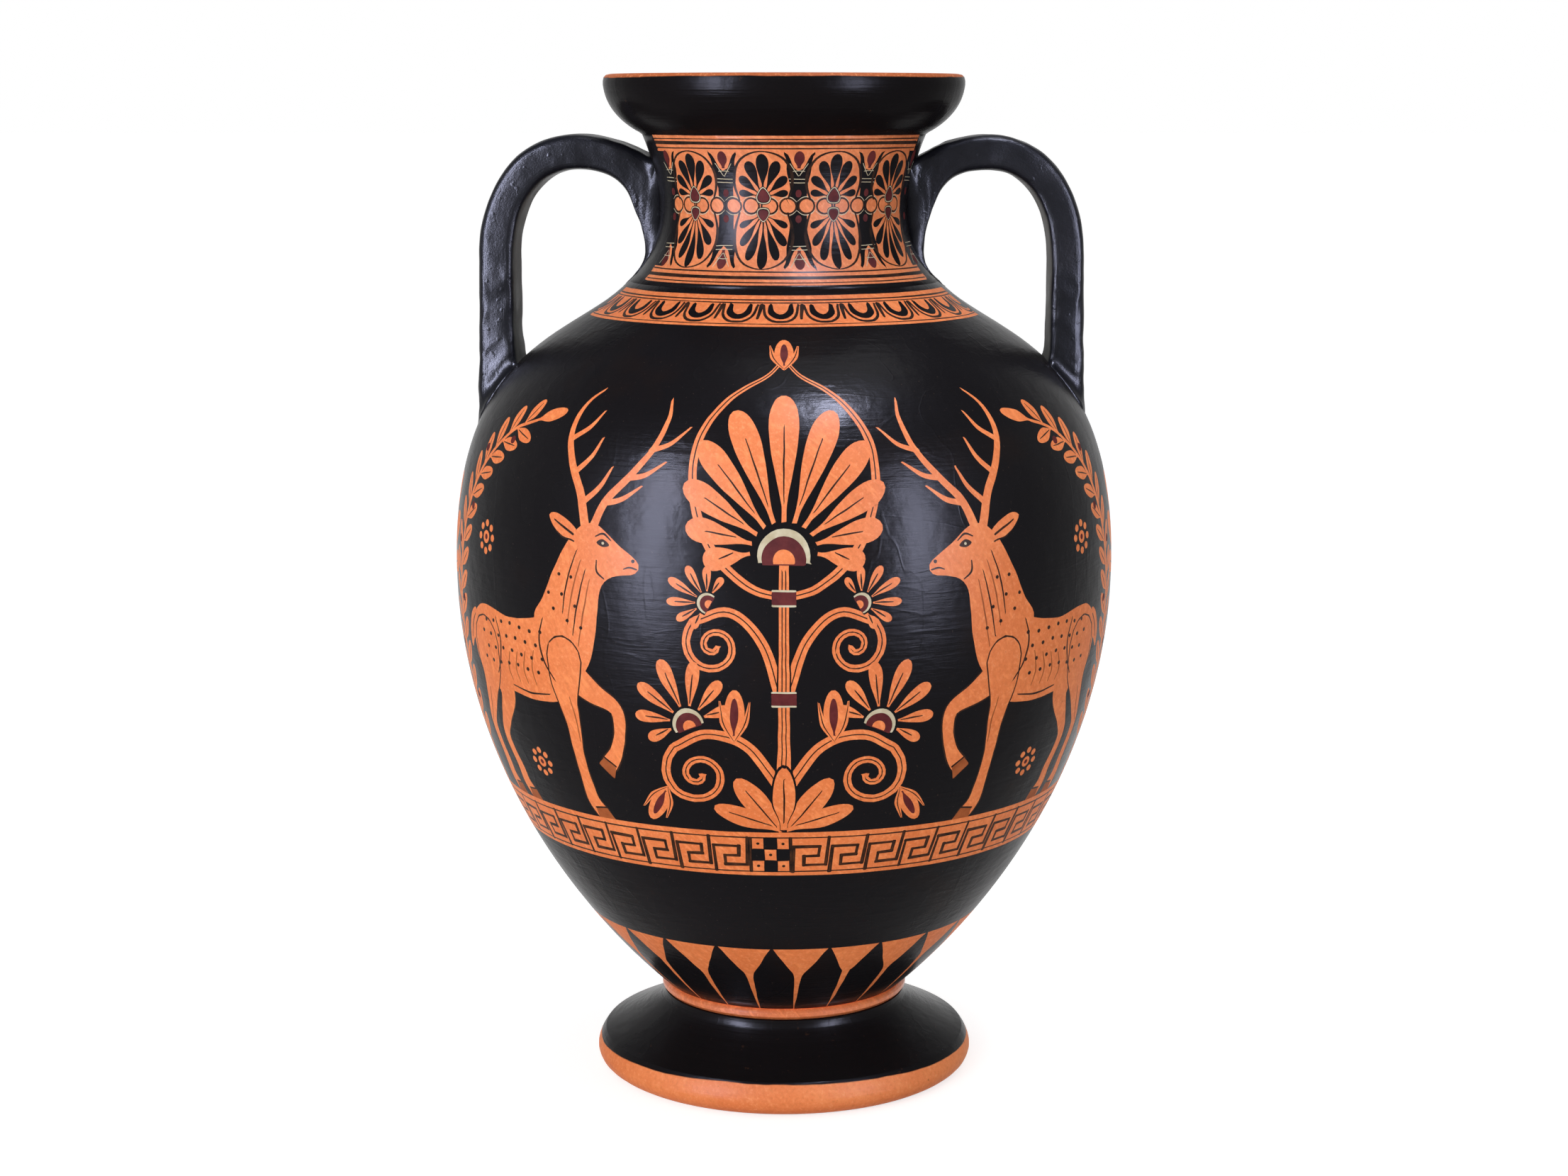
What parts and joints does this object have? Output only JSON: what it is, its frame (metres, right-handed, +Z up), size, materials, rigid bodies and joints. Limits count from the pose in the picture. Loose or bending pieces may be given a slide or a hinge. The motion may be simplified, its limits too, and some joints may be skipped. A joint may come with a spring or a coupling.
{
  "type": "amphora vase",
  "caption": "Two-handled clay amphora with a cushion mouth, concave neck, ovoid body and disc foot, black gloss with reserved orange bands; stores liquids or stands on display.",
  "frame": {"origin": "centre of the foot's resting ring, on the surface that the vase stands on", "axes": "+Z up along the vessel's axis, +X through the right handle, -Y towards the front of the painting"},
  "size_m": [0.294, 0.294, 0.45],
  "materials": {
    "gloss_slip": "satin black gloss slip on fired clay",
    "painted_neck": "bare orange clay with black ornament",
    "painted_body": "black gloss slip with reserved orange ornament",
    "bare_clay": "bare orange clay, satin"
  },
  "bodies": {
    "root": {"mouth": "gloss_slip", "neck": "painted_neck", "shoulder": "painted_body", "belly": "painted_body", "foot_fillet": "bare_clay", "foot": "gloss_slip", "handle_left": "gloss_slip", "handle_right": "gloss_slip"}
  },
  "joints": []
}
